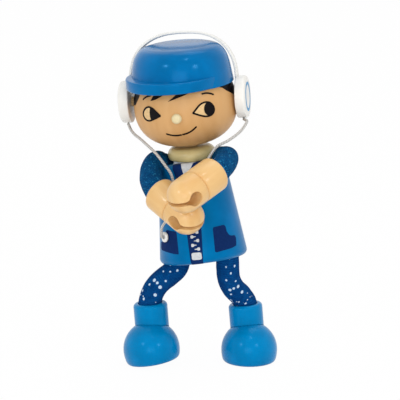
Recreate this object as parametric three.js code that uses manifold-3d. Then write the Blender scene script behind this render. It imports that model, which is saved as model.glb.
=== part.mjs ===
// A small bendable wooden doll, a boy with a cap and a headset. Turned wooden body, head, hands and feet
// are joined by fabric sleeves over stiff wire, and two cords run from the headset to an eyelet on the body.
// Millimetres, +Z up. The doll faces -Y, and its own left side is at +X.
import * as THREE from "three";
import { mergeVertices } from "three/addons/utils/BufferGeometryUtils.js";
import Module from "manifold-3d";

const wasm = await Module();
wasm.setup();

// Fits
const fitGap = 0.3;

// Body: a cone that leans towards the doll's right and a little back
const bodyHeight = 29.9;
const bodyBaseRadius = 13.27;
const bodyTopRadius = 10.2;
const bodyEdge = 1.6;
const bodyPlace = [0.79, 0.9, 32.62];
const bodyLean = 8.5;
const bodyPitch = -5;
const shoulderPlace = [8.6, 2.4, 29.8];
const shoulderTurn = 62;
const hipSpread = 7.4;
const hipDepth = 1.2;

// Neck and head, measured from the foot of the neck, which is where the head turns
const neckHeight = 31.2;
const neckShift = 0.4;
const neckLean = -2;
const neckPitch = 8.1;
const dowelRadius = 2;
const dowelSpan = [-7, 11];
const collarLean = 2;
const collarBore = 2.7;
const collarProfile = [
  [6.7, 0.1],
  [7.2, 0.6],
  [7.25, 1.2],
  [7.1, 2],
  [6.83, 2.5],
  [6.4, 3],
  [5.75, 3.45],
  [5, 3.6],
];
const headRadius = 15.5;
const headChin = 12.4;
const headChinPower = 2.4;
const headHeight = 16.4;
const noseRadius = 1.5;
const noseHeight = -1.4;
const noseReach = 16.7;
const noseLength = 3.9;
const noseEdge = 0.9;

// Cap and headset share a frame at the middle of the head, which leans less than the head does
const headwearShift = -0.4;
const headwearLean = -2.5;
const headwearPitch = 1.3;
const capProfile = [
  [15.45, 6.5],
  [15.15, 8.5],
  [14.8, 11],
  [14.35, 13.1],
  [13.75, 14.8],
  [12.85, 16.2],
  [11.6, 17.3],
  [9.6, 17.9],
];
const brimHeight = 3.3;
const brimRadius = 14.5;
const brimShift = 4;
const brimTurn = -24;
const cupRadius = 6.35;
const cupSpan = [16.1, 19.3];
const cupEdge = 0.8;
const earPlace = [1, 1.2];
const pegRadius = 1.5;
const pegSpan = [12.6, 17.9];
const bandHalfWidth = 16.2;
const bandFoot = 3.4;
const bandStraight = 6;
const bandRise = 15.2;
const bandPower = 2.5;
const bandThickness = 0.8;
const bandWidth = 3;
const bandTilt = 12;

// Limbs: fabric sleeves over wire
const armRadius = 3.45;
const legRadius = 3.5;
const wireRadius = 0.8;
const socketDepth = 2.2;
const shoulderRun = 1.5;
const wireInBody = 3.4;
const wireInHand = 5;

// Hands: a ball on a stub, split by a slot that ends in a cross hole, with a cuff behind a groove
const handRadius = 5.2;
const fistLength = 5;
const cuffLength = 8.2;
const grooveWidth = 1;
const grooveDepth = 0.5;
const cuffEdge = 1.5;
const gripRadius = 2.2;
const slotWidth = 1.2;

// Where each hand's ball is, which way its tip and its cross hole point
const handPlaces = {
  left: { ball: [0.8, -28.4, 58], tip: [-0.57, -0.71, -0.4], hole: [0.79, -0.6, -0.08] },
  right: { ball: [-0.3, -20.3, 50], tip: [0.77, -0.48, -0.43], hole: [-0.61, -0.75, -0.24] },
};

// The sleeves' middle lines between the body and the hands or feet
const armRoutes = {
  left: [[6.8, 0.6, 63.9], [8.3, -3.5, 64.8], [9.3, -8, 65.2], [9.4, -13.5, 64.4]],
  right: [[-13.6, 1, 61.9], [-14.2, -2.2, 61], [-14.05, -5.8, 59.3], [-13, -9.5, 57.8]],
};
const legRoutes = {
  left: [[8, 1.25, 30.5], [8.1, 2.8, 26.3], [9.2, 4.9, 22.8], [11.2, 7.3, 19.8]],
  right: [[-7.6, 0.3, 29.6], [-9.4, -0.1, 27.7], [-11.9, -0.7, 25.7], [-14.2, -1.3, 22.9]],
};

// Feet: a ball cut flat below, with a cuff that stands behind its middle and leans inwards. The right foot
// stands on its outer edge.
const footRadius = 8.6;
const soleDrop = 3.6;
const footCuffRadius = 5.2;
const footCuffFoot = 3.3;
const footCuffTop = 13.9;
const footCuffEdge = 1.1;
const footWireDepth = 3;
const footPlaces = {
  left: { at: [14, 5.7], roll: 0, cuffShift: [-0.5, 2.3, 0], cuffLean: -5 },
  right: { at: [-14.6, -4], roll: -10, cuffShift: [0.2, 2.3, 0], cuffLean: 5.5 },
};

// Headset cords and the eyelet that they reach on the body
const cordRadius = 0.42;
const cordStep = 2.1;
const cordForward = 1;
const eyeletRadius = 1.55;
const eyeletHole = 0.65;
const eyeletThickness = 0.9;
const eyeletHeight = 8.8;
const eyeletTurn = -44;
const cordRoutes = {
  right: [[-21.1, -1, 71.6], [-19.7, -2.4, 70.6], [-17.85, -3.8, 69.7], [-14.9, -5.8, 67.9],
    [-12.05, -7.4, 65.85], [-9.05, -8.6, 62.6], [-7.3, -8.9, 60.2], [-6.5, -9.1, 56.6], [-6.9, -9.5, 52],
    [-7.6, -9.9, 49], [-8.6, -10.2, 46.4], [-9.9, -10.2, 44.2]],
  left: [[14.2, -2.2, 75.4], [12.7, -3.8, 73], [9.6, -6.9, 70.6], [6.4, -8.9, 68.9], [3.9, -9.9, 65.2],
    [0.4, -9.9, 60.4], [-2.6, -9.9, 56.4], [-5, -9.8, 53.7]],
};

// Fineness of round shapes
const bigRound = 28;
const footRound = 30;
const smallRound = 20;
const pinRound = 10;
const wireSides = 6;
const cordSides = 8;
const bandSteps = 16;
const sleeveSides = 12;
const sleeveSteps = 10;
const domeSteps = 7;
const edgeSteps = 3;
const turnedEdge = 0.4;

const rad = THREE.MathUtils.degToRad;
const deg = THREE.MathUtils.radToDeg;
const vec = (p) => new THREE.Vector3(...p);

// Materials
const finish = (color, roughness, metalness = 0) =>
  new THREE.MeshStandardMaterial({ color, roughness, metalness });
const bodyPaint = finish(0x0a74b6, 0.35);
const bareWood = finish(0xd9ac74, 0.55);
const faceWood = finish(0xcfa06c, 0.5);
const capPaint = finish(0x0b86c8, 0.28);
const plasticWhite = finish(0xe6e3dc, 0.4);
const palePaint = finish(0xcbbd94, 0.5);
const armFabric = finish(0x08457a, 0.95);
const legFabric = finish(0x003f78, 0.95);
const footPaint = finish(0x0479b8, 0.35);
const steel = finish(0x9a9a9a, 0.35, 1);
const cordGrey = finish(0xc9c6c2, 0.9);

// A frame inside another one: shifted, then leaned sideways about Y within a pitch about X
function frame(parent, at, pitch = 0, lean = 0, turn = 0) {
  const group = new THREE.Group();
  group.position.copy(vec(at));
  group.rotation.set(rad(pitch), rad(lean), rad(turn));
  parent.add(group);
  return group;
}

// A closed geometry as a solid that can be joined and cut
function solid(geometry) {
  const bare = geometry.clone();
  bare.deleteAttribute("normal");
  bare.deleteAttribute("uv");
  const merged = mergeVertices(bare, 1e-4);
  return new wasm.Manifold(
    new wasm.Mesh({
      numProp: 3,
      vertProperties: merged.getAttribute("position").array,
      triVerts: new Uint32Array(merged.index.array),
    }),
  );
}

function geometryOf(made) {
  const mesh = made.getMesh();
  const geometry = new THREE.BufferGeometry();
  geometry.setAttribute("position", new THREE.BufferAttribute(mesh.vertProperties, 3));
  geometry.setIndex(new THREE.BufferAttribute(mesh.triVerts, 1));
  geometry.computeVertexNormals();
  return geometry;
}

// Adds one piece to a frame, from a geometry or a solid
function piece(parent, name, shape, material) {
  const mesh = new THREE.Mesh(shape.isBufferGeometry ? shape : geometryOf(shape), material);
  mesh.name = name;
  parent.add(mesh);
  return mesh;
}

// A turned form about Z, from its profile of [radius, height] points listed upwards
function turned(profile, segments) {
  const points = profile.map(([r, z]) => new THREE.Vector2(r, z));
  return new THREE.LatheGeometry(points, segments).rotateX(Math.PI / 2);
}

// Points of a round edge, from one angle to another about a centre
function arc(radius, height, round, from, to, steps) {
  return Array.from({ length: steps + 1 }, (_, i) => {
    const angle = rad(from + ((to - from) * i) / steps);
    return [radius + round * Math.cos(angle), height + round * Math.sin(angle)];
  });
}

// A plain pin along Z between two heights
function pin(radius, low, high, segments = pinRound) {
  return turned([[0, low], [radius, low], [radius, high], [0, high]], segments);
}

// A polygon with its corners on a circle
function ring(radius, sides) {
  return Array.from({ length: sides }, (_, i) => {
    const angle = (i / sides) * Math.PI * 2;
    return new THREE.Vector2(radius * Math.cos(angle), radius * Math.sin(angle));
  });
}

// A round tube along points, solid or with a bore
function tube(points, radius, sides, steps, bore = 0) {
  const section = new THREE.Shape(ring(radius, sides));
  if (bore) section.holes.push(new THREE.Path(ring(bore, pinRound)));
  const extrudePath = new THREE.CatmullRomCurve3(points, false, "centripetal");
  return new THREE.ExtrudeGeometry(section, { steps, extrudePath, bevelEnabled: false });
}

// A box between two corners
function block(low, high) {
  const size = vec(high).sub(vec(low));
  const middle = vec(high).add(vec(low)).multiplyScalar(0.5);
  return new THREE.BoxGeometry(...size.toArray()).translate(...middle.toArray());
}

// How high the middle of a foot is, so that it rests on the floor when it is rolled
const soleRadius = Math.sqrt(footRadius ** 2 - soleDrop ** 2);
const footHeight = (roll) => soleRadius * Math.abs(Math.sin(rad(roll))) + soleDrop * Math.cos(rad(roll));

const doll = new THREE.Group();

// Frames, all placed before any piece is cut by a neighbour
const bodyFrame = frame(doll, bodyPlace, bodyPitch, -bodyLean);
const neckFrame = frame(bodyFrame, [neckShift, 0, neckHeight], neckPitch, -neckLean);
const collarFrame = frame(neckFrame, [0, 0, 0], 0, collarLean);
const headFrame = frame(neckFrame, [0, 0, headHeight]);
const headwearFrame = frame(headFrame, [headwearShift, 0, 0], headwearPitch, -headwearLean);
const handFrames = {};
const footFrames = {};
const footCuffFrames = {};
for (const side of ["left", "right"]) {
  const { ball, tip, hole } = handPlaces[side];
  const along = vec(tip).normalize();
  const across = vec(hole).projectOnPlane(along).normalize();
  const turn = new THREE.Matrix4().makeBasis(across, along.clone().cross(across), along);
  handFrames[side] = frame(doll, ball);
  handFrames[side].setRotationFromMatrix(turn);
  const { at, roll, cuffShift, cuffLean } = footPlaces[side];
  footFrames[side] = frame(doll, [...at, footHeight(roll)], 0, roll);
  footCuffFrames[side] = frame(footFrames[side], cuffShift, 0, cuffLean);
}
doll.updateMatrixWorld(true);

// Where a point of a frame lies on the doll
const onDoll = (group, x, y, z) => group.localToWorld(new THREE.Vector3(x, y, z));

// A tool that is drawn on the doll, or in one frame, as seen from another frame
function seenFrom(group, geometry, drawnIn = doll) {
  const toGroup = group.matrixWorld.clone().invert().multiply(drawnIn.matrixWorld);
  return solid(geometry.clone().applyMatrix4(toGroup));
}

// A limb's routes: its sleeve's, its wire's, which runs on at both ends, and its seat's, a little past the
// sleeve. start and end give the point at a distance out of the body, and out of the hand or foot, and lead
// lists the distances at which the sleeve still runs straight out of the body.
function limb(side, part, radius, fabric, start, lead, free, end, wireEnd) {
  const sleeve = [start(0), ...lead.map(start), ...free.map(vec), end(socketDepth), end(0)];
  const wire = [start(-wireInBody), ...sleeve, end(-wireEnd)];
  const seat = [start(-fitGap), ...sleeve.slice(1, -1), end(-fitGap)];
  return { side, part, radius, fabric, sleeve, wire, seat };
}
const limbs = [];
for (const side of ["left", "right"]) {
  const sign = side === "left" ? 1 : -1;
  const [spread, back, height] = shoulderPlace;
  const [outward, forward] = [Math.cos(rad(shoulderTurn)), Math.sin(rad(shoulderTurn))];
  const shoulder = (reach) =>
    onDoll(bodyFrame, sign * (spread + reach * outward), back - reach * forward, height);
  const handSocket = socketDepth - fitGap - fistLength - cuffLength;
  const wrist = (reach) => onDoll(handFrames[side], 0, 0, handSocket - reach);
  const hip = (reach) => onDoll(bodyFrame, sign * hipSpread, 0, hipDepth - reach);
  const footSocket = footCuffTop - socketDepth + fitGap;
  const ankle = (reach) => onDoll(footCuffFrames[side], 0, 0, footSocket + reach);
  const wireInFoot = footSocket - footRadius + footWireDepth;
  limbs.push(
    limb(side, "arm", armRadius, armFabric, shoulder, [shoulderRun], armRoutes[side], wrist, wireInHand),
    limb(side, "leg", legRadius, legFabric, hip, [], legRoutes[side], ankle, wireInFoot),
  );
}

// The room that a limb needs in the pieces at its ends
const seatSteps = sleeveSteps * 2;
const sleeveSeat = (one) => tube(one.seat, one.radius + fitGap, sleeveSides, seatSteps);
const wireHole = (one) => tube(one.wire, wireRadius + fitGap, pinRound, seatSteps);
const limbRoom = (one, group) => seenFrom(group, sleeveSeat(one)).add(seenFrom(group, wireHole(one)));

// Body with its limb seats, wire holes and neck hole
const coneAngle = deg(Math.atan2(bodyBaseRadius - bodyTopRadius, bodyHeight));
let body = solid(
  turned(
    [
      [0, 0],
      ...arc(bodyBaseRadius - bodyEdge, bodyEdge, bodyEdge, -90, coneAngle, edgeSteps),
      ...arc(bodyTopRadius - bodyEdge, bodyHeight - bodyEdge, bodyEdge, coneAngle, 90, edgeSteps),
      [0, bodyHeight],
    ],
    bigRound,
  ),
);
for (const one of limbs) body = body.subtract(limbRoom(one, bodyFrame));
const neckHole = pin(dowelRadius + fitGap, dowelSpan[0] - fitGap, dowelSpan[1] + fitGap, smallRound);
body = body.subtract(seenFrom(bodyFrame, neckHole, neckFrame));
piece(bodyFrame, "torso", body, bodyPaint);

// Neck: a dowel through a round collar
piece(neckFrame, "neck_dowel", pin(dowelRadius, ...dowelSpan, smallRound), bareWood);
const [collarLow, collarHigh] = [collarProfile[0][1], collarProfile.at(-1)[1]];
const collarForm = turned(
  [[collarBore, collarLow], ...collarProfile, [collarBore, collarHigh], [collarBore, collarLow]],
  smallRound,
);
piece(collarFrame, "neck_collar", collarForm, palePaint);

// Head: a ball above, and a fuller, flatter chin below
const chinSteps = 9;
const chinProfile = Array.from({ length: chinSteps + 1 }, (_, i) => {
  const angle = (i / chinSteps) * (Math.PI / 2);
  const power = 2 / headChinPower;
  return [headRadius * Math.sin(angle) ** power, -headChin * Math.cos(angle) ** power];
});
const crownProfile = arc(0, 0, headRadius, 0, 90, domeSteps).slice(1, -1);
let head = solid(turned([...chinProfile, ...crownProfile, [0, headRadius]], bigRound));
head = head.subtract(seenFrom(headFrame, neckHole, neckFrame));
const earPeg = (sign, radius, low, high) =>
  pin(radius, low, high)
    .rotateY((sign * Math.PI) / 2)
    .translate(0, ...earPlace);
for (const sign of [1, -1]) {
  const hole = earPeg(sign, pegRadius + fitGap, pegSpan[0] - fitGap, pegSpan[1] + fitGap);
  head = head.subtract(seenFrom(headFrame, hole, headwearFrame));
}
const noseAt = (geometry) => geometry.rotateX(Math.PI / 2).translate(0, 0, noseHeight);
const noseFoot = noseReach - noseLength;
head = head.subtract(solid(noseAt(pin(noseRadius + fitGap, noseFoot - fitGap, noseReach))));
piece(headFrame, "head", head, faceWood);
const noseProfile = [
  [0, noseFoot],
  [noseRadius, noseFoot],
  ...arc(noseRadius - noseEdge, noseReach - noseEdge, noseEdge, 0, 90, edgeSteps),
  [0, noseReach],
];
piece(headFrame, "nose_peg", noseAt(turned(noseProfile, pinRound)), palePaint);

// Cap: a hollow crown with a flat top, and a brim whose edge is a circle shifted to one side
const capBottom = capProfile[0][1];
const crown = turned([[0, capBottom], ...capProfile, [0, capProfile.at(-1)[1]]], bigRound);
const brimTop = capBottom + brimHeight;
const brimProfile = [
  [0, capBottom],
  ...arc(brimRadius - turnedEdge, capBottom + turnedEdge, turnedEdge, -90, 0, 2),
  ...arc(brimRadius - turnedEdge, brimTop - turnedEdge, turnedEdge, 0, 90, 2),
  [0, brimTop],
];
const brim = turned(brimProfile, bigRound).translate(0, -brimShift, 0).rotateZ(rad(brimTurn));
const capHollow = turned([[0, 0], ...arc(0, 0, headRadius + fitGap, 0, 90, domeSteps + 2)], bigRound);
const cap = solid(crown).add(solid(brim)).subtract(seenFrom(headwearFrame, capHollow, headFrame));
piece(headwearFrame, "cap", cap, capPaint);

// Headset: two cups on pegs, joined by a flat band that arches over the cap
function bandArch(grow) {
  return Array.from({ length: bandSteps + 1 }, (_, i) => {
    const angle = (i / bandSteps) * Math.PI;
    const across = Math.sign(Math.cos(angle)) * Math.abs(Math.cos(angle)) ** (2 / bandPower);
    const up = Math.sin(angle) ** (2 / bandPower);
    return [across * (bandHalfWidth + grow), bandStraight + up * (bandRise + grow)];
  });
}
function band(gap) {
  const grow = bandThickness / 2 + gap;
  const foot = bandFoot - gap;
  const outer = bandHalfWidth + grow;
  const inner = bandHalfWidth - grow;
  const outline = [
    [outer, foot],
    ...bandArch(grow),
    [-outer, foot],
    [-inner, foot],
    ...bandArch(-grow).reverse(),
    [inner, foot],
  ];
  const shape = new THREE.Shape(outline.map(([x, z]) => new THREE.Vector2(x, z)));
  const depth = bandWidth + gap * 2;
  return new THREE.ExtrudeGeometry(shape, { depth, steps: 1, bevelEnabled: false })
    .translate(0, 0, -depth / 2)
    .rotateX(Math.PI / 2 - rad(bandTilt))
    .translate(0, earPlace[0], 0);
}
piece(headwearFrame, "headband", band(0), plasticWhite);
const cupProfile = [
  [0, cupSpan[0]],
  [cupRadius - cupEdge / 2, cupSpan[0]],
  [cupRadius, cupSpan[0] + cupEdge / 2],
  ...arc(cupRadius - cupEdge, cupSpan[1] - cupEdge, cupEdge, 0, 90, 3),
  [0, cupSpan[1]],
];
for (const [side, sign] of [["left", 1], ["right", -1]]) {
  const blank = turned(cupProfile, smallRound)
    .rotateY((sign * Math.PI) / 2)
    .translate(0, ...earPlace);
  const pegHole = earPeg(sign, pegRadius + fitGap, pegSpan[0], pegSpan[1] + fitGap);
  const cup = solid(blank).subtract(solid(pegHole)).subtract(solid(band(fitGap)));
  piece(headwearFrame, "ear_cup_" + side, cup, plasticWhite);
  piece(headwearFrame, "ear_peg_" + side, earPeg(sign, pegRadius, ...pegSpan), bareWood);
}

// Hands
const handProfile = [
  [0, -fistLength - cuffLength],
  ...arc(handRadius - cuffEdge, cuffEdge - fistLength - cuffLength, cuffEdge, -90, 0, edgeSteps),
  [handRadius, -fistLength - grooveWidth / 2],
  [handRadius - grooveDepth, -fistLength - grooveWidth / 4],
  [handRadius - grooveDepth, -fistLength + grooveWidth / 4],
  [handRadius, -fistLength + grooveWidth / 2],
  ...arc(0, 0, handRadius, 0, 90, domeSteps).slice(0, -1),
  [0, handRadius],
];
const past = handRadius * 2;
const gripHole = pin(gripRadius, -past, past).rotateY(Math.PI / 2);
const gripSlot = block([-past, -slotWidth / 2, 0], [past, slotWidth / 2, past]);
for (const one of limbs.filter(({ part }) => part === "arm")) {
  const hand = solid(turned(handProfile, smallRound))
    .subtract(solid(gripHole))
    .subtract(solid(gripSlot))
    .subtract(limbRoom(one, handFrames[one.side]));
  piece(handFrames[one.side], one.side + "_hand", hand, bareWood);
}

// Feet
const footBase = deg(Math.asin(-soleDrop / footRadius));
const footProfile = [
  [0, -soleDrop],
  ...arc(0, 0, footRadius, footBase, 0, edgeSteps),
  ...arc(0, 0, footRadius, 0, 90, domeSteps).slice(1, -1),
  [0, footRadius],
];
const footCuffBlank = turned(
  [
    [0, footCuffFoot],
    [footCuffRadius, footCuffFoot],
    ...arc(footCuffRadius - footCuffEdge, footCuffTop - footCuffEdge, footCuffEdge, 0, 90, edgeSteps),
    [0, footCuffTop],
  ],
  smallRound,
);
const footRoom = turned([[0, 0], ...arc(0, 0, footRadius + fitGap, 0, 90, domeSteps)], bigRound);
for (const one of limbs.filter(({ part }) => part === "leg")) {
  const footFrame = footFrames[one.side];
  const cuffFrame = footCuffFrames[one.side];
  const ball = solid(turned(footProfile, footRound)).subtract(seenFrom(footFrame, wireHole(one)));
  piece(footFrame, one.side + "_foot_ball", ball, footPaint);
  const cuff = solid(footCuffBlank)
    .subtract(seenFrom(cuffFrame, footRoom, footFrame))
    .subtract(limbRoom(one, cuffFrame));
  piece(cuffFrame, one.side + "_foot_cuff", cuff, footPaint);
}

// Sleeves, pinched where they pass under the collar, and wires
const collarTool = turned(
  [
    [0, collarLow - fitGap],
    [collarProfile[0][0] + fitGap, collarLow - fitGap],
    ...collarProfile.slice(1).map(([r, z]) => [r + fitGap, z]),
    [0, collarHigh + fitGap],
  ],
  smallRound,
);
const collarRoom = seenFrom(doll, collarTool, collarFrame);
for (const one of limbs) {
  const name = one.side + "_" + one.part;
  const sleeve = solid(tube(one.sleeve, one.radius, sleeveSides, sleeveSteps, wireRadius + fitGap));
  piece(doll, name + "_sleeve", sleeve.subtract(collarRoom), one.fabric);
  piece(doll, name + "_wire", tube(one.wire, wireRadius, wireSides, seatSteps), steel);
}

// Eyelet on the body's front, square to the cone's side
const radiusAtEyelet = bodyBaseRadius - eyeletHeight * Math.tan(rad(coneAngle));
const eyeletMount = frame(bodyFrame, [0, 0, eyeletHeight], 0, 0, eyeletTurn);
const eyeletFrame = frame(eyeletMount, [0, -radiusAtEyelet - fitGap, 0], 90 - coneAngle);
const eyeletProfile = [
  [eyeletHole, 0],
  [eyeletRadius, 0],
  [eyeletRadius, eyeletThickness],
  [eyeletHole, eyeletThickness],
  [eyeletHole, 0],
];
piece(eyeletFrame, "cord_eyelet", turned(eyeletProfile, pinRound), plasticWhite);
doll.updateMatrixWorld(true);

// Cords, from under each cup down the front, behind the hands
const cupMiddle = (cupSpan[0] + cupSpan[1]) / 2;
const cupFoot = (sign) =>
  onDoll(headwearFrame, sign * cupMiddle, earPlace[0] - cordForward, earPlace[1] - cupRadius - fitGap);
const eyeletFace = onDoll(eyeletFrame, 0, 0, eyeletThickness + fitGap + cordRadius);
function cord(name, points) {
  const length = new THREE.CatmullRomCurve3(points, false, "centripetal").getLength();
  piece(doll, name, tube(points, cordRadius, cordSides, Math.round(length / cordStep)), cordGrey);
}
cord("cord_right", [cupFoot(-1), ...cordRoutes.right.map(vec), eyeletFace]);
cord("cord_left", [cupFoot(1), ...cordRoutes.left.map(vec)]);

// The origin is on the floor, under the middle of the doll's box without its cords
const box = new THREE.Box3();
doll.updateMatrixWorld(true);
doll.traverse((one) => {
  if (one.isMesh && !one.name.startsWith("cord_")) box.expandByObject(one, true);
});
const middle = box.getCenter(new THREE.Vector3());
doll.position.set(-middle.x, -middle.y, -box.min.z);

export default doll;
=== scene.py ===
# A small bendable wooden doll, a boy with a cap and a headset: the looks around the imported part.
# Sizes are in millimetres and turn into metres when a piece is finished. The doll faces -Y.
import math
import bpy
import bmesh
from mathutils import Matrix, Vector, noise


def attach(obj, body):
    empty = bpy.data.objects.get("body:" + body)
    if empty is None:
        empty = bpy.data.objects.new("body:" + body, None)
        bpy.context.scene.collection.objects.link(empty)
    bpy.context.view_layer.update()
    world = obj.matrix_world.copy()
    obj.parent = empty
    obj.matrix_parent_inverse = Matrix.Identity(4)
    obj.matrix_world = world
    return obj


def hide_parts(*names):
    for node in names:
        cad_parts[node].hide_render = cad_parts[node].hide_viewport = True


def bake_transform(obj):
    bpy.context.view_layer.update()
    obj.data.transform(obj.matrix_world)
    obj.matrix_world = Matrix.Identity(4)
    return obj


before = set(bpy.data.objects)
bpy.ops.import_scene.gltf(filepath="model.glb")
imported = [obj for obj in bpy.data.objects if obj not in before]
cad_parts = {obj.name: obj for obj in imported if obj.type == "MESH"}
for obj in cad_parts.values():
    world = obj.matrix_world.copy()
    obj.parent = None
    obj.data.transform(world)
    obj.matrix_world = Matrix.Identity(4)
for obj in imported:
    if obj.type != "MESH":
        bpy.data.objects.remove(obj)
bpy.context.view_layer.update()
scene = bpy.context.scene
mm = 0.001
print("part loaded:", len(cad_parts), "nodes")


# places, the same as in the part
def rotated(degrees, axis):
    return Matrix.Rotation(math.radians(degrees), 4, axis)


def placed(parent, at, pitch=0, lean=0, turn=0):
    turned = rotated(pitch, "X") @ rotated(lean, "Y")
    return parent @ Matrix.Translation(Vector(at)) @ turned @ rotated(turn, "Z")


def axesPlace(first, second, third, at):
    # a place from the directions of its three axes and its origin
    place = Matrix((first, second, third)).transposed().to_4x4()
    place.translation = at
    return place


dollPlace = Matrix.Translation((1.42791, 7.69515, 0))
bodyPlace = placed(dollPlace, (0.79, 0.9, 32.62), -5, -8.5)
neckPlace = placed(bodyPlace, (0.4, 0, 31.2), 8.1, 2)
collarPlace = placed(neckPlace, (0, 0, 0), 0, 2)
headPlace = placed(neckPlace, (0, 0, 16.4))
wearPlace = placed(headPlace, (-0.4, 0, 0), 1.3, 2.5)
handPlaces = {}
for side, ball, tip, hole in (
    ("left", (0.8, -28.4, 58), (-0.57, -0.71, -0.4), (0.79, -0.6, -0.08)),
    ("right", (-0.3, -20.3, 50), (0.77, -0.48, -0.43), (-0.61, -0.75, -0.24)),
):
    along = Vector(tip).normalized()
    across = (Vector(hole) - along * Vector(hole).dot(along)).normalized()
    handPlaces[side] = dollPlace @ axesPlace(across, along.cross(across), along, Vector(ball))
footPlaces = {
    "left": placed(dollPlace, (14, 5.7, 3.6)),
    "right": placed(dollPlace, (-14.6, -4, 4.9015), 0, -10),
}
cuffPlaces = {
    "left": placed(footPlaces["left"], (-0.5, 2.3, 0), 0, -5),
    "right": placed(footPlaces["right"], (0.2, 2.3, 0), 0, 5.5),
}


def addObject(name, data):
    made = bpy.data.objects.new(name, data)
    scene.collection.objects.link(made)
    return made


# camera at the photograph's angle
view = {"azimuth": 11, "elevation": 11.5, "distance": 550, "target": (1.0974, 7.8153, 50.8985),
        "lens": 164.34, "sensor": 36, "nearest": 0.02, "farthest": 20}


def makeCamera():
    azimuth, elevation = math.radians(view["azimuth"]), math.radians(view["elevation"])
    level = math.cos(elevation)
    away = Vector((math.sin(azimuth) * level, -math.cos(azimuth) * level, math.sin(elevation)))
    right = Vector((math.cos(azimuth), math.sin(azimuth), 0))
    data = bpy.data.cameras.new("camera")
    data.lens, data.sensor_width = view["lens"], view["sensor"]
    data.clip_start, data.clip_end = view["nearest"], view["farthest"]
    camera = addObject("camera", data)
    at = (Vector(view["target"]) + away * view["distance"]) * mm
    camera.matrix_world = axesPlace(right, away.cross(right), away, at)
    scene.camera = camera


makeCamera()

curvePieces = 24  # between two points of a smooth line
closest = 1e-6
weldGap = 1e-4
pinSteps = 40  # around a small turned piece
ballSteps = (96, 64)


# a smooth line through points, cut into even steps
def smoothLine(points, step):
    points = [Vector(p) for p in points]
    ends = [points[0] * 2 - points[1]] + points + [points[-1] * 2 - points[-2]]
    fine = []
    for a, b, c, d in zip(ends, ends[1:], ends[2:], ends[3:]):
        before, during, after = (max((q - p).length, closest) ** 0.5 for p, q in ((a, b), (b, c), (c, d)))
        leave = ((b - a) / before - (c - a) / (before + during) + (c - b) / during) * during
        arrive = ((c - b) / during - (d - b) / (during + after) + (d - c) / after) * during
        for i in range(curvePieces):
            t = i / curvePieces
            near, far = 2 * t**3 - 3 * t**2 + 1, 3 * t**2 - 2 * t**3
            fine.append(b * near + leave * (t**3 - 2 * t**2 + t) + c * far + arrive * (t**3 - t**2))
    fine.append(points[-1])
    total = lineLength(fine)
    count = max(2, round(total / step))
    line, walked = [fine[0]], 0
    for p, q in zip(fine, fine[1:]):
        length = (q - p).length
        while len(line) < count and walked + length >= total * len(line) / count:
            line.append(p.lerp(q, (total * len(line) / count - walked) / length))
        walked += length
    return line + [fine[-1]]


def lineLength(line):
    return sum((q - p).length for p, q in zip(line, line[1:]))


def profileLine(profile, step):
    # a smooth line through a profile of (radius, height)
    return [(p.x, p.z) for p in smoothLine([(r, 0, z) for r, z in profile], step)]


def arcLine(radius, height, bend, start, end, steps):
    # points of a round edge, from one angle to another
    angles = [math.radians(start + (end - start) * i / steps) for i in range(steps + 1)]
    return [(radius + bend * math.cos(a), height + bend * math.sin(a)) for a in angles]


def meshObject(bm, name):
    mesh = bpy.data.meshes.new(name)
    bm.to_mesh(mesh)
    bm.free()
    return addObject(name, mesh)


# a mesh's last steps: into place, into metres, onto its body
def finishPiece(bm, name, place, material, body=None, stands=(), smooth=35):
    bmesh.ops.transform(bm, matrix=Matrix.Scale(mm, 4) @ place, verts=bm.verts[:])
    piece = meshObject(bm, name)
    piece.data.materials.append(material)
    piece.data.shade_smooth()
    if smooth < 180:
        piece.data.set_sharp_from_angle(angle=math.radians(smooth))
    if body:
        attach(piece, body)
    if stands:
        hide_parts(*stands)
    return piece


# a turned form about Z from a profile of (radius, height)
def turnedForm(profile, steps):
    bm = bmesh.new()
    line = [bm.verts.new((r, 0, z)) for r, z in profile]
    for pair in zip(line, line[1:]):
        bm.edges.new(pair)
    bmesh.ops.spin(bm, geom=bm.verts[:] + bm.edges[:], cent=(0, 0, 0), axis=(0, 0, 1), dvec=(0, 0, 0),
                   angle=math.tau, steps=steps, use_merge=True)
    bmesh.ops.remove_doubles(bm, verts=bm.verts[:], dist=weldGap)
    bmesh.ops.recalc_face_normals(bm, faces=bm.faces[:])
    return bm


# extrudes all faces; the points of the raised side
def raisedPoints(bm):
    raised = bmesh.ops.extrude_face_region(bm, geom=bm.faces[:])["geom"]
    return [v for v in raised if isinstance(v, bmesh.types.BMVert)]


# a flat outline, pushed out into a plate
def plateForm(corners, push):
    bm = bmesh.new()
    bm.faces.new([bm.verts.new(p) for p in corners])
    bmesh.ops.translate(bm, verts=raisedPoints(bm), vec=push)
    bmesh.ops.recalc_face_normals(bm, faces=bm.faces[:])
    return bm


def ballForm(radius, place):
    bm = bmesh.new()
    around, up = ballSteps
    bmesh.ops.create_uvsphere(bm, u_segments=around, v_segments=up, radius=radius, matrix=place)
    return bm


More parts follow.
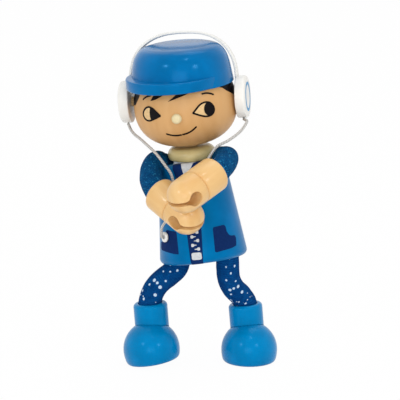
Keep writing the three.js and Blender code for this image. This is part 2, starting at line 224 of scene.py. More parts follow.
# a round tube along part of a route; each point keeps its place on the straight tube
def tubeForm(route, widthAt, sides, first=0, past=None):
    bm = bmesh.new()
    straight = bm.verts.layers.float_vector.new("straight")
    across = Vector((0.3, 0.2, 1))  # no tube starts this way
    walked, lastEdges = 0, None
    for i, point in enumerate(route[:past]):
        before, after = route[max(i - 1, 0)], route[min(i + 1, len(route) - 1)]
        forward = (after - before).normalized()
        across = (across - forward * across.dot(forward)).normalized()
        walked += (point - route[i - 1]).length if i else 0
        if i < first:
            continue
        ring = bmesh.ops.create_circle(bm, cap_ends=False, radius=1, segments=sides)["verts"]
        for v in ring:
            v.co *= widthAt(walked, math.atan2(v.co.y, v.co.x))
            v[straight] = (v.co.x, v.co.y, walked)
        place = axesPlace(across, forward.cross(across), forward, point)
        bmesh.ops.transform(bm, matrix=place, verts=ring)
        edges = list({edge for v in ring for edge in v.link_edges})
        if lastEdges:
            bmesh.ops.bridge_loops(bm, edges=lastEdges + edges)
        lastEdges = edges
    bmesh.ops.holes_fill(bm, edges=[e for e in bm.edges if e.is_boundary], sides=sides)
    bmesh.ops.recalc_face_normals(bm, faces=bm.faces[:])
    return bm


# cuts one closed form out of another
def cutAway(bm, cutter):
    pieces = [meshObject(form, "form") for form in (bm, cutter)]
    cut = pieces[0].modifiers.new("cut", "BOOLEAN")
    cut.operation, cut.solver, cut.object = "DIFFERENCE", "EXACT", pieces[1]
    made = pieces[0].evaluated_get(bpy.context.evaluated_depsgraph_get()).to_mesh()
    result = bmesh.new()
    result.from_mesh(made)
    for piece in pieces:
        bpy.data.objects.remove(piece)
    return result


# materials; a noise is given by its scale and detail, a range by its low and high end
coatRoughness = 0.15


def colour(text):
    values = [int(text[i:i + 2], 16) / 255 for i in (0, 2, 4)]
    return tuple(v / 12.92 if v <= 0.04045 else ((v + 0.055) / 1.055) ** 2.4 for v in values) + (1,)


def toned(shade, factor):
    # a darker or lighter shade of the same colour
    return tuple(min(1, c * factor) for c in colour(shade)[:3]) + (1,)


def startMaterial(name, roughness, coat=0, shine=0.3, tint=(1, 1, 1)):
    material = bpy.data.materials.new(name)
    material.use_nodes = True
    shader = material.node_tree.nodes["Principled BSDF"]
    shader.inputs["Roughness"].default_value = roughness
    shader.inputs["Specular IOR Level"].default_value = shine
    shader.inputs["Specular Tint"].default_value = (*tint, 1)
    shader.inputs["Coat Weight"].default_value = coat
    shader.inputs["Coat Roughness"].default_value = coatRoughness
    return material, material.node_tree, shader


def connect(tree, socket, value):
    # a socket gets a value or another node's output
    if isinstance(value, bpy.types.NodeSocket):
        tree.links.new(value, socket)
    else:
        socket.default_value = value


def add(tree, kind, settings=None, **inputs):
    # one node with its settings; its sockets go by name, or by number as n0, n1
    made = tree.nodes.new("ShaderNode" + kind)
    for key, value in (settings or {}).items():
        setattr(made, key, value)
    for key, value in inputs.items():
        numbered = key[0] == "n" and key[1:].isdigit()
        connect(tree, made.inputs[int(key[1:]) if numbered else key.replace("_", " ")], value)
    return made


def maths(tree, how, first, second=0.5):
    return add(tree, "Math", {"operation": how}, n0=first, n1=second).outputs[0]


def plus(tree, first, second):
    return maths(tree, "ADD", first, second)


def minus(tree, first, second):
    return maths(tree, "SUBTRACT", first, second)


def times(tree, first, second):
    return maths(tree, "MULTIPLY", first, second)


def ramp(tree, value, low, high, start=0.0, end=1.0):
    return add(tree, "MapRange", {"clamp": True}, Value=value, From_Min=low, From_Max=high, To_Min=start,
               To_Max=end).outputs[0]


def noiseAt(tree, at, scale, detail):
    return add(tree, "TexNoise", Vector=at, Scale=scale, Detail=detail).outputs[0]


def stretched(tree, at, scale):
    return add(tree, "VectorMath", {"operation": "MULTIPLY"}, n0=at, n1=scale).outputs[0]


def localPoint(tree, place):
    # a point in millimetres in a piece's own place
    at = add(tree, "TexCoord").outputs["Object"]
    turn = place.to_3x3().to_euler()
    return add(tree, "Mapping", {"vector_type": "TEXTURE"}, Vector=at, Location=place.translation * mm,
               Rotation=turn, Scale=(mm, mm, mm)).outputs[0]


def straightPoint(tree):
    # a point on a tube before it was bent, with its angle around and its way along
    at = add(tree, "Attribute", {"attribute_name": "straight"}).outputs["Vector"]
    parts = add(tree, "SeparateXYZ", Vector=at).outputs
    return at, maths(tree, "ARCTAN2", parts[1], parts[0]), parts[2]


def blendColours(tree, factor, first, second):
    mixed = add(tree, "Mix", {"data_type": "RGBA"})
    for number, value in ((0, factor), (6, first), (7, second)):
        connect(tree, mixed.inputs[number], value)
    return mixed.outputs[2]


def setColour(tree, shader, factor, first, second):
    tree.links.new(blendColours(tree, factor, first, second), shader.inputs["Base Color"])


def setShades(tree, shader, value, span, shade, deep):
    # from a deeper shade of a colour to the colour itself
    setColour(tree, shader, ramp(tree, value, *span), toned(shade, deep), colour(shade))


def setRoughness(tree, shader, value, roughness, look):
    less, more = look["spread"]
    made = ramp(tree, value, *look["patchy"], roughness - less, roughness + more)
    tree.links.new(made, shader.inputs["Roughness"])


def setBump(tree, shader, height, look):
    # distance in metres
    made = add(tree, "Bump", Height=height, Distance=look["bump"], Strength=look["bumpStrength"])
    tree.links.new(made.outputs[0], shader.inputs["Normal"])


paintLook = {"shine": 0.24, "cloud": (0.16, 3), "cloudRange": (0.3, 0.7), "grain": (2.2, 4),
             "grainStretch": (1, 1, 0.12), "speck": (5, 2), "deep": 0.86, "bright": 1.08, "patchy": (0.3, 0.75),
             "spread": (0.06, 0.08), "bump": 0.00002, "bumpStrength": 0.35}


def paintedWood(name, shade, place, roughness, coat=0.02, tint=(0.03, 0.5, 1)):
    look = paintLook
    material, tree, shader = startMaterial(name, roughness, coat, look["shine"], tint)
    at = localPoint(tree, place)
    cloud = noiseAt(tree, at, *look["cloud"])
    grain = noiseAt(tree, stretched(tree, at, look["grainStretch"]), *look["grain"])
    speck = noiseAt(tree, at, *look["speck"])
    deep, bright = toned(shade, look["deep"]), toned(shade, look["bright"])
    setColour(tree, shader, ramp(tree, cloud, *look["cloudRange"]), deep, bright)
    setRoughness(tree, shader, speck, roughness, look)
    setBump(tree, shader, plus(tree, grain, speck), look)
    return material


bareLook = {"shine": 0.3, "cloud": (0.2, 3), "cloudStretch": (1, 1, 0.3), "cloudLess": 0.6, "rings": 0.12,
            "wobble": 2.5, "wobbleScale": 0.3, "ringShare": 0.5, "fibre": (4, 5),
            "fibreStretch": (1, 1, 0.05), "fibreShare": 0.7, "mixRange": (0.25, 0.85), "patchy": (0.3, 0.7),
            "spread": (0.04, 0.06), "bump": 0.00001, "bumpStrength": 0.3}


def bareWood(name, pale, dark, place, roughness, ringShift=(7, 3, 0), figure=0.5, coat=0.05):
    look = bareLook
    material, tree, shader = startMaterial(name, roughness, coat, look["shine"])
    at = localPoint(tree, place)
    shifted = add(tree, "VectorMath", {"operation": "ADD"}, n0=at, n1=ringShift).outputs[0]
    cloud = noiseAt(tree, stretched(tree, shifted, look["cloudStretch"]), *look["cloud"])
    rings = add(tree, "TexWave", {"wave_type": "RINGS", "rings_direction": "Z"}, Vector=shifted,
                Scale=look["rings"], Distortion=look["wobble"], Detail_Scale=look["wobbleScale"]).outputs[0]
    fibre = noiseAt(tree, stretched(tree, at, look["fibreStretch"]), *look["fibre"])
    mix = plus(tree, times(tree, rings, look["ringShare"] * figure),
               times(tree, fibre, look["fibreShare"] * figure))
    mix = plus(tree, mix, times(tree, cloud, 1 - look["cloudLess"] * figure))
    setColour(tree, shader, ramp(tree, mix, *look["mixRange"]), colour(pale), colour(dark))
    setRoughness(tree, shader, fibre, roughness, look)
    setBump(tree, shader, fibre, look)
    return material


mouldLook = {"roughness": 0.38, "coat": 0.15, "cloud": (0.25, 2), "cloudRange": (0.3, 0.7), "fine": (9, 2),
             "deep": 0.93, "patchy": (0.3, 0.7), "spread": (0.04, 0.05), "bump": 0.00001, "bumpStrength": 0.4}


def moulded(name, shade, place):
    look = mouldLook
    material, tree, shader = startMaterial(name, look["roughness"], look["coat"])
    at = localPoint(tree, place)
    cloud, fine = noiseAt(tree, at, *look["cloud"]), noiseAt(tree, at, *look["fine"])
    setShades(tree, shader, cloud, look["cloudRange"], shade, look["deep"])
    setRoughness(tree, shader, fine, look["roughness"], look)
    setBump(tree, shader, fine, look)
    return material


inkLook = {"cloud": (1.3, 3), "cloudRange": (0.35, 0.65), "deep": 0.85, "bump": 0.00001, "bumpStrength": 0.3}


def printInk(name, shade, place, roughness, shine=0.1):
    look = inkLook
    material, tree, shader = startMaterial(name, roughness, 0, shine)
    cloud = noiseAt(tree, localPoint(tree, place), *look["cloud"])
    setShades(tree, shader, cloud, look["cloudRange"], shade, look["deep"])
    setBump(tree, shader, cloud, look)
    return material


knitLook = {"roughness": 0.95, "shine": 0.05, "columns": 30, "course": 0.62, "wave": 0.3, "ridge": 0.2,
            "fuzz": (3.5, 4), "cloud": (0.5, 3), "cloudShare": 0.6, "shadeRange": (0.5, 1.25), "random": 0.85,
            "dotFrom": 0.25, "sideRange": (0.3, 0.75), "fray": 0.14, "dotEdge": 0.05, "bump": 0.00022,
            "bumpStrength": 0.7}
# deep is a darker yarn colour, painted mostly into the stitch troughs as shade; mid is the yarn's own colour
armKnit = {"deep": "032A52", "mid": "0C659E", "dot": "3590BA", "dotSize": 0.36, "dotScale": 1.7, "relief": 0.8}
legKnit = {"deep": "012A60", "mid": "065594", "dot": "C4D8EA", "dotSize": 0.46, "dotScale": 0.75, "relief": 0.5,
           "dotSide": 1.75}


def knitCloth(name, cloth):
    look = knitLook
    material, tree, shader = startMaterial(name, look["roughness"], 0, look["shine"])
    straight, angle, along = straightPoint(tree)
    # each column of stitches leans one way up to its middle and the other way past it
    column = times(tree, angle, look["columns"] / math.tau)
    lean = maths(tree, "ABSOLUTE", minus(tree, maths(tree, "FLOORED_MODULO", column, 1), 0.5))
    course = plus(tree, times(tree, along, 1 / look["course"]), lean)
    wave = maths(tree, "SINE", times(tree, course, math.tau))
    ridge = maths(tree, "COSINE", times(tree, minus(tree, lean, 0.25), math.tau * 2))
    stitch = plus(tree, times(tree, wave, look["wave"] * cloth["relief"]),
                  times(tree, ridge, look["ridge"] * cloth["relief"]))
    fuzz, cloud = noiseAt(tree, straight, *look["fuzz"]), noiseAt(tree, straight, *look["cloud"])
    # the cloth is coloured darker in the troughs of the stitches: painted shade, mixed with random yarn tone
    # from the fuzz and cloud
    shade = plus(tree, plus(tree, fuzz, stitch), times(tree, cloud, look["cloudShare"]))
    tone = ramp(tree, shade, *look["shadeRange"])
    base = blendColours(tree, tone, colour(cloth["deep"]), colour(cloth["mid"]))
    # dots of many sizes with a frayed edge
    cells = add(tree, "TexVoronoi", Vector=straight, Scale=cloth["dotScale"], Randomness=look["random"])
    draw = add(tree, "SeparateColor", Color=cells.outputs["Color"]).outputs[0]
    size = ramp(tree, draw, look["dotFrom"], 1, 0, cloth["dotSize"])
    if "dotSide" in cloth:
        # the dots keep to one side of the tube
        facing = maths(tree, "COSINE", minus(tree, angle, cloth["dotSide"]))
        size = times(tree, size, ramp(tree, facing, *look["sideRange"]))
    inDot = minus(tree, size, cells.outputs["Distance"])
    frayed = plus(tree, inDot, times(tree, minus(tree, fuzz, 0.5), look["fray"]))
    setColour(tree, shader, ramp(tree, frayed, 0, look["dotEdge"]), base, colour(cloth["dot"]))
    setBump(tree, shader, plus(tree, stitch, fuzz), look)
    return material


# deep is how dark the painted shade in the grooves between the strands goes
stringLook = {"roughness": 0.75, "pitch": 1.1, "strands": 2, "fuzz": (8, 3), "reliefRange": (-0.5, 1),
              "deep": 0.55, "bump": 0.0001, "bumpStrength": 0.7}


def twistedString(name, shade):
    look = stringLook
    material, tree, shader = startMaterial(name, look["roughness"])
    straight, angle, along = straightPoint(tree)
    turn = plus(tree, angle, times(tree, along, math.tau / look["pitch"]))
    strand = maths(tree, "COSINE", times(tree, turn, look["strands"]))
    relief = plus(tree, strand, noiseAt(tree, straight, *look["fuzz"]))
    # the grooves between the strands are painted darker as shade, with a little random fuzz
    setShades(tree, shader, relief, look["reliefRange"], shade, look["deep"])
    setBump(tree, shader, relief, look)
    return material


steelLook = {"roughness": 0.4, "streaks": (900, 2), "deep": "8C8C8C", "bright": "B4B4B4"}


def wireSteel():
    look = steelLook
    material, tree, shader = startMaterial("wireSteel", look["roughness"])
    shader.inputs["Metallic"].default_value = 1
    streaks = noiseAt(tree, add(tree, "TexCoord").outputs["Object"], *look["streaks"])
    setColour(tree, shader, streaks, colour(look["deep"]), colour(look["bright"]))
    return material


jacketPaint = paintedWood("jacketPaint", "006AA4", bodyPlace, 0.34)
capPaint = paintedWood("capPaint", "0068A4", wearPlace, 0.19, 0.05)
footPaint = {s: paintedWood(s + "FootPaint", "007CB6", footPlaces[s], 0.25, 0.05) for s in footPlaces}
handWood = {s: bareWood(s + "HandWood", "E7C38A", "DAAA68", handPlaces[s], 0.36, figure=0.3, coat=0.3)
            for s in handPlaces}
faceWood = bareWood("faceWood", "D2A46D", "C6955C", headPlace, 0.45, (20, 9, 0), 0.2)
pegWood = bareWood("pegWood", "E6D9B4", "D2C08F", headPlace, 0.4)
collarWood = paintedWood("collarWood", "CFBF87", bodyPlace, 0.32, 0.3, (1, 1, 1))
dowelWood = bareWood("dowelWood", "E2C595", "CDA672", neckPlace, 0.6)
headsetWhite = moulded("headsetWhite", "ECEAE4", wearPlace)
ringBlue = printInk("ringBlue", "3C94C8", wearPlace, 0.35)
hairInk = printInk("hairInk", "0D080B", headPlace, 0.42)
eyeInk = printInk("eyeInk", "E3C08C", headPlace, 0.45)
navyInk = printInk("navyInk", "102C60", bodyPlace, 0.6, 0.03)
whiteInk = printInk("whiteInk", "D0D4D8", bodyPlace, 0.6, 0.05)
armCloth = knitCloth("armCloth", armKnit)
legCloth = knitCloth("legCloth", legKnit)
cordString = twistedString("cordString", "D8D5D0")
steel = wireSteel()
print("materials made")

# headset cords
cordForm = {"radius": 0.42, "sides": 12, "step": 0.5, "ridge": 0.07, "twist": 5.7, "gap": 0.3, "bend": 34,
            "cupRadius": 6.35, "cupMiddle": 17.7, "ear": 1.2,
            "eyeletHeight": 8.8, "eyeletTurn": -44, "eyeletTop": 1.62,
            "eyelet": [(0.65, 0.05), (1.2, 0), (1.55, 0.25), (1.55, 0.65), (1.2, 0.9), (0.65, 0.85),
                       (0.65, 0.05)],
            "knot": 0.62, "knotRidge": 0.12, "knotLobes": 5, "knotTwist": 6}
cordRoutes = {
    "right": [(-21.1, -1, 71.6), (-19.7, -2.4, 70.6), (-17.85, -3.8, 69.7), (-14.9, -5.8, 67.9),
              (-12.05, -7.4, 65.85), (-9.05, -8.6, 62.6), (-7.3, -8.9, 60.2), (-6.5, -9.1, 56.6),
              (-6.9, -9.5, 52), (-7.6, -9.9, 49), (-8.6, -10.2, 46.4), (-9.9, -10.2, 44.2)],
    "left": [(14.2, -2.2, 75.4), (12.7, -3.8, 73), (9.6, -6.9, 70.6), (6.4, -8.9, 68.9), (3.9, -9.9, 65.2),
             (0.4, -9.9, 60.4), (-2.6, -9.9, 56.4), (-5, -9.8, 53.7)],
}
bodyForm = {"height": 29.9, "baseRadius": 13.27, "topRadius": 10.2, "edge": 1.6, "slope": 5.8623,
            "flat": (6, 5), "steps": 128, "arcSteps": 12}
eyeletRadius = bodyForm["baseRadius"] - cordForm["eyeletHeight"] * math.tan(math.radians(bodyForm["slope"]))
eyeletPlace = placed(placed(bodyPlace, (0, 0, cordForm["eyeletHeight"]), turn=cordForm["eyeletTurn"]),
                     (0, -eyeletRadius - cordForm["gap"], 0), 90 - bodyForm["slope"])


def onDoll(points):
    return [dollPlace.to_translation() + Vector(p) for p in points]


def cupFoot(sign):
    # where a cord leaves its cup
    f = cordForm
    return wearPlace @ Vector((sign * f["cupMiddle"], 0, f["ear"] - f["cupRadius"] - f["gap"]))


def makeCord(side, points):
    f = cordForm
    route = smoothLine(points, f["step"])

    def width(walked, angle):
        # two strands, twisted
        return f["radius"] * (1 + f["ridge"] * math.cos(2 * angle + walked * f["twist"]))

    bm = tubeForm(route, width, f["sides"])
    cord = finishPiece(bm, side + "Cord", Matrix.Identity(4), cordString, None, ["cord_" + side],
                       smooth=180)
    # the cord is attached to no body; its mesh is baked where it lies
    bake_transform(cord)


def makeEyelet():
    bm = turnedForm(cordForm["eyelet"], pinSteps)
    return finishPiece(bm, "cordEyelet", eyeletPlace, headsetWhite, "torso", ["cord_eyelet"])


def makeKnot(at):
    f = cordForm
    bm = bmesh.new()
    bmesh.ops.create_icosphere(bm, subdivisions=3, radius=f["knot"])
    for v in bm.verts:
        turn = f["knotLobes"] * math.atan2(v.co.y, v.co.x) + f["knotTwist"] * v.co.z
        v.co *= 1 + f["knotRidge"] * math.sin(turn)
    return finishPiece(bm, "cordKnot", Matrix.Translation(at), cordString, "torso")


eyelet = makeEyelet()
knot = makeKnot(dollPlace @ Vector(cordRoutes["left"][-1]))
cordEnd = eyeletPlace @ Vector((0, 0, cordForm["eyeletTop"]))
makeCord("right", [cupFoot(-1)] + onDoll(cordRoutes["right"]) + [cordEnd])
makeCord("left", [cupFoot(1)] + onDoll(cordRoutes["left"]))
print("cords made")


# body with its printed jacket
def makeBody():
    f = bodyForm
    edge, top, (flatBelow, flatAbove) = f["edge"], f["height"], f["flat"]
    low = arcLine(f["baseRadius"] - edge, edge, edge, -90, f["slope"], f["arcSteps"])
    high = arcLine(f["topRadius"] - edge, top - edge, edge, f["slope"], 90, f["arcSteps"])
    bm = turnedForm([(0, 0), (flatBelow, 0)] + low + high + [(flatAbove, top), (0, top)], f["steps"])
    return finishPiece(bm, "jacketBody", bodyPlace, jacketPaint, "torso", ["torso"])


makeBody()


def bodySurface(height):
    # radius, height and outward slope; past the side's ends it rolls over the edges and onto the flat top
    f = bodyForm
    slope, edge, top = math.radians(f["slope"]), f["edge"], f["height"]
    rise, reach = edge * math.sin(slope), edge * math.cos(slope)
    low, high = edge + rise, top - edge + rise
    wide, narrow = f["baseRadius"] - edge, f["topRadius"] - edge
    if height < low:
        angle = max(-math.pi / 2, slope - (low - height) / edge)
        return wide + edge * math.cos(angle), edge + edge * math.sin(angle), angle
    if height <= high:
        share = (height - low) / (high - low)
        return wide + reach + (narrow - wide) * share, height, slope
    angle = slope + (height - high) / edge
    if angle <= math.pi / 2:
        return narrow + edge * math.cos(angle), top - edge + edge * math.sin(angle), angle
    return narrow - (angle - math.pi / 2) * edge, top, math.pi / 2


headForm = {"radius": 15.5, "chin": 12.4, "power": 2.4, "steps": 128, "rowDegrees": 5,
            "chinHeights": [-12.4, -12.36, -12.25, -12.05, -11.7, -11.2, -10.6, -9.8, -8.9, -7.9, -6.8, -5.6,
                            -4.4, -3.2, -2, -1]}


def headSurface(height):
    # half a ball above, a flatter chin below
    f = headForm
    if height >= 0:
        angle = math.asin(min(1, height / f["radius"]))
        return f["radius"] * math.cos(angle), height, angle
    share = min(1, -height / f["chin"])
    r = f["radius"] * (1 - share ** f["power"]) ** (1 / f["power"])
    inwards = (r / f["radius"]) ** (f["power"] - 1) / f["radius"]
    return r, height, math.atan2(-(share ** (f["power"] - 1)) / f["chin"], inwards)


# prints lie on a turned surface: outlines in degrees around from the front and millimetres up, laid out
# flat at a middle radius, cut into a grid, thickened and wrapped around
bodyPrint = {"surface": bodySurface, "perDegree": math.radians(1) * 12.2, "place": bodyPlace,
             "slot": "body_paint", "body": "torso", "grid": 0.5}
facePrint = {"surface": headSurface, "perDegree": math.radians(1) * 14.9, "place": headPlace,
             "slot": "face_wood", "body": "head", "grid": 0.8}
printForm = {"depth": 0.1, "cutGap": 1e-5, "roundSteps": 5, "strokeStep": 0.25}


def printOn(base, name, outline, material, lift, rounding=0, grid=None):
    grid, perDegree = grid or base["grid"], base["perDegree"]
    bm = bmesh.new()
    corners = [bm.verts.new((u * perDegree, v, 0)) for u, v in outline]
    bm.faces.new(corners)
    if rounding:
        bmesh.ops.bevel(bm, geom=corners, offset=rounding, segments=printForm["roundSteps"], profile=0.5,
                        affect="VERTICES", offset_type="OFFSET", material=-1)
    bmesh.ops.triangulate(bm, faces=bm.faces[:])
    for axis, normal in enumerate((Vector((1, 0, 0)), Vector((0, 1, 0)))):
        values = [v.co[axis] for v in bm.verts]
        cut = math.floor(min(values) / grid) * grid + grid
        while cut < max(values):
            bmesh.ops.bisect_plane(bm, geom=bm.verts[:] + bm.edges[:] + bm.faces[:],
                                   dist=printForm["cutGap"], plane_co=normal * cut, plane_no=normal)
            cut += grid
    upper = set(raisedPoints(bm))
    for v in bm.verts:
        around = math.radians(v.co.x / perDegree)
        r, z, slope = base["surface"](v.co.y)
        out = lift if v in upper else -printForm["depth"]
        r += out * math.cos(slope)
        v.co = (r * math.sin(around), -r * math.cos(around), z + out * math.sin(slope))
    bmesh.ops.recalc_face_normals(bm, faces=bm.faces[:])
    return finishPiece(bm, name, base["place"], material, base["body"], smooth=40)


jacket = {
    "navy": [(-6, -0.6), (10, -0.6), (10.1, 1), (12.9, 8.9), (14.5, 14), (17, 18), (22, 22), (28, 26.5),
             (31, 28.5), (34, 30.8), (42, 34), (0, 34), (-42, 34), (-27, 30.8), (-22.7, 28.5), (-19.1, 26.5),
             (-13, 22), (-9, 17.5), (-7.4, 8.9), (-6, 1)],
    "shirt": [(-3.3, 26.5), (0, 26.9), (5.6, 27.8), (9.9, 28.7), (14.5, 30.2), (20, 31.8), (30, 34), (0, 34),
              (-19, 34), (-11, 31.5), (-8.4, 30.2), (-6.6, 29.1), (-4.5, 27.4)],
    "pocketLeft": [(-22.1, 3.5), (-22.6, 6), (-23.6, 9.8), (-24.5, 10.3), (-43, 10.9), (-46, 10.2),
                   (-47.5, 8.6), (-51, 7.6), (-56, 7.3), (-61.5, 7.2), (-62.5, 5.3), (-60.5, 4.8),
                   (-43.7, 4.26), (-30.5, 3.7)],
    "pocketRight": [(28.6, 2.84), (39.5, 3.06), (53.3, 3.28), (61.9, 3.7), (63.6, 4.6), (65, 6.12),
                    (63.3, 6.82), (57.2, 6.86), (53, 7.2), (49.9, 8.42), (49.5, 9.94), (47.2, 10.52),
                    (30.4, 10.34), (29.2, 9.9), (28, 5.74), (27.2, 3.16)],
    "tab": [(-3.8, 1.5), (9.2, 1.45), (9.2, 3.55), (-3.9, 3.65)],
    "tooth": [(-0.35, -0.1), (0.3, -0.16), (0.55, -0.46), (1.12, -0.48), (1.25, 0), (1.12, 0.48), (0.55, 0.46),
              (0.3, 0.16), (-0.35, 0.1)],
    "toothStart": 4.6, "toothStep": 1.24, "teeth": 9, "middle": 2.1, "slant": 0.09,
    "low": 0.03, "flat": 0.05, "high": 0.1, "pocketRound": 0.2, "tabRound": 0.5, "toothRound": 0.14,
}


def printJacket():
    f = jacket
    printOn(bodyPrint, "jacketFront", f["navy"], navyInk, f["flat"])
    printOn(bodyPrint, "shirtFront", f["shirt"], whiteInk, f["high"])
    printOn(bodyPrint, "pocketLeft", f["pocketLeft"][::-1], navyInk, f["low"], f["pocketRound"])
    printOn(bodyPrint, "pocketRight", f["pocketRight"], navyInk, f["low"], f["pocketRound"])
    printOn(bodyPrint, "zipTab", f["tab"], whiteInk, f["high"], f["tabRound"])
    for i in range(f["teeth"]):
        # the teeth point left and right in turn, up a line that slants a little
        sign = -1 if i % 2 else 1
        height = f["toothStart"] + i * f["toothStep"]
        middle = f["middle"] + f["slant"] * height
        outline = [(middle + sign * u / bodyPrint["perDegree"], v + height) for u, v in f["tooth"]]
        printOn(bodyPrint, "zipTooth%d" % (i + 1), outline[::sign], whiteInk, f["high"], f["toothRound"])


printJacket()
print("body made")

# collar, head, nose and hair
collarForm = {"bore": 2.4, "low": -0.2, "high": 3.6, "flat": (6, 4), "steps": 96, "sideStep": 0.3,
              "side": [(6.75, -0.16), (7.05, 0.1), (7.2, 0.6), (7.25, 1.2), (7.2, 1.6), (7.1, 2), (6.83, 2.5),
                       (6.4, 3), (5.75, 3.4), (5, 3.57)]}
noseForm = {"drop": 1.4, "profile": [(0, 12.8), (1.5, 12.8), (1.5, 15.9), (1.42, 16.2), (1.2, 16.45),
                                     (0.85, 16.62), (0.4, 16.69), (0, 16.7)]}


def makeCollar():
    f = collarForm
    bore, low, high, (flatBelow, flatAbove) = f["bore"], f["low"], f["high"], f["flat"]
    profile = [(bore, low), (flatBelow, low)] + profileLine(f["side"], f["sideStep"])
    profile += [(flatAbove, high), (bore, high), (bore, low)]
    bm = turnedForm(profile, f["steps"])
    return finishPiece(bm, "neckCollar", collarPlace, collarWood, "torso", ["neck_collar"])


def makeHead():
    f = headForm
    angles = range(0, 90, f["rowDegrees"])
    heights = f["chinHeights"] + [f["radius"] * math.sin(math.radians(a)) for a in angles]
    bm = turnedForm([headSurface(h)[:2] for h in heights] + [(0, f["radius"])], f["steps"])
    return finishPiece(bm, "headBall", headPlace, faceWood, "head", ["head"], smooth=180)


def makeNose():
    place = headPlace @ Matrix.Translation((0, 0, -noseForm["drop"])) @ rotated(90, "X")
    bm = turnedForm(noseForm["profile"], pinSteps)
    return finishPiece(bm, "nosePeg", place, pegWood, "head", ["nose_peg"], smooth=60)


makeCollar()
makeHead()
makeNose()

face = {
    "eyeLeft": [(18.3, -0.3), (21.6, 0.55), (25.9, 1.6), (30.2, 2.15), (34.8, 2.25), (39.2, 1.8), (42.2, 0.8),
                (43.1, -0.4), (41, -1.45), (37.3, -1.9), (32.6, -1.9), (27.2, -1.45), (22.1, -0.8)],
    "eyeRight": [(-18.5, -0.3), (-23.1, 0.9), (-28, 1.9), (-32.9, 2.3), (-37.6, 2), (-41.8, 1), (-43.4, -0.1),
                 (-42, -1.1), (-38.4, -1.7), (-33.8, -1.8), (-28.3, -1.35), (-22.7, -0.8)],
    "browLeft": [(32, 4.75), (37.1, 4.75), (42.4, 4.35), (45.7, 3.9)],
    "browRight": [(-43.8, 4.3), (-40.2, 4.9), (-36.2, 5.3), (-31.6, 5.5)],
    "mouthA": [(-16, -6), (-10.2, -6.5), (-4.3, -6.7), (2, -6.62)],
    "mouthB": [(3.6, -6.55), (8.9, -6.3), (14.9, -5.65), (20.4, -4.6)],
    "fringeA": [(-27.1, 5.6), (-31.1, 4), (-24, 4.4), (-14.2, 5.5), (-4, 8.4), (-20, 8.4)],
    "fringeB": [(2.4, 5.6), (-8.1, 3.7), (3.2, 4.5), (11.1, 5.05), (18, 5.6), (30, 8.4), (12, 8.4)],
    "hair": [(52, 8.6), (54.5, 6.2), (58.2, 5.4), (62.4, 5), (67.6, 3.9), (79.5, 2.2), (95, -1.2), (108, -3.4),
             (128, -4.8), (155, -5.3), (180, -5.4), (205, -5.3), (232, -4.8), (252, -3.4), (268, -1),
             (280, 1.4), (289, 1.8), (297.3, 2.1), (304.4, 3.9), (307.4, 5.3), (309, 8.6)],
    "pupilMiddle": (36.6, 0.15), "pupilRadius": (5.6, 1.95), "pupilSteps": 36,
    "pupilCut": -31.4, "pupilEdge": [(-31.2, 2.2), (-32.4, 0.8), (-32.5, -0.6), (-31.6, -1.72)],
    "ink": 0.5, "white": 0.03, "flat": 0.05, "pupil": 0.09, "line": 0.13, "hairGrid": 1.2,
}


def strokeAround(points):
    # the outline of a brush line on the face, of even width with round ends
    perDegree, half = facePrint["perDegree"], face["ink"] / 2
    flat = [Vector((u * perDegree, v, 0)) for u, v in points]
    line = smoothLine(flat, printForm["strokeStep"])
    left, right = [], []
    for i, p in enumerate(line):
        forward = (line[min(i + 1, len(line) - 1)] - line[max(i - 1, 0)]).normalized()
        out = Vector((-forward.y, forward.x, 0)) * half
        left.append(p + out)
        right.append(p - out)
    start, end = (line[0] - line[1]).normalized() * half, (line[-1] - line[-2]).normalized() * half
    outline = left + [line[-1] + end] + right[::-1] + [line[0] + start]
    return [(p.x / perDegree, p.y) for p in outline]


def roundPupil():
    f = face
    (u, v), (wide, tall) = f["pupilMiddle"], f["pupilRadius"]
    turn = [math.tau * i / f["pupilSteps"] for i in range(f["pupilSteps"])]
    return [(u + wide * math.cos(a), v + tall * math.sin(a)) for a in turn]


def halfPupil(shape):
    # the part of the eye towards the nose, up to a curved edge
    past = [i for i, p in enumerate(shape) if p[0] <= face["pupilCut"]]
    return shape[past[-1] + 1:] + shape[:past[0]] + face["pupilEdge"]


def printFace():
    perDegree = facePrint["perDegree"]
    for name, side in (("leftEye", "eyeLeft"), ("rightEye", "eyeRight")):
        lids = face[side] + face[side][:1]
        around = smoothLine([(u * perDegree, v, 0) for u, v in lids], printForm["strokeStep"])
        shape = [(p.x / perDegree, p.y) for p in around[:-1]]
        pupil = roundPupil() if name == "leftEye" else halfPupil(shape)
        printOn(facePrint, name + "White", shape, eyeInk, face["white"])
        printOn(facePrint, name + "Pupil", pupil, hairInk, face["pupil"])
        printOn(facePrint, name + "Line", strokeAround(lids), hairInk, face["line"])
    for name in ("browLeft", "browRight", "mouthA", "mouthB"):
        printOn(facePrint, name, strokeAround(face[name]), hairInk, face["flat"])
    for name in ("fringeA", "fringeB"):
        printOn(facePrint, name, face[name], hairInk, face["flat"])
    printOn(facePrint, "hairBack", face["hair"], hairInk, face["flat"], grid=face["hairGrid"])


printFace()
print("head made")

# cap
capForm = {"inner": 15.75, "bottom": 6.5, "top": 17.9, "brimRadius": 14.5, "brimHeight": 3.3, "brimShift": 4,
           "brimTurn": -24, "brimEdge": 0.45, "rimSteps": 5, "flat": 9, "steps": 128, "crownStep": 0.5,
           "crown": [(15.45, 6.5), (15.15, 8.5), (14.8, 11), (14.35, 13.1), (13.75, 14.8), (12.85, 16.2),
                     (11.6, 17.3), (9.9, 17.82)]}


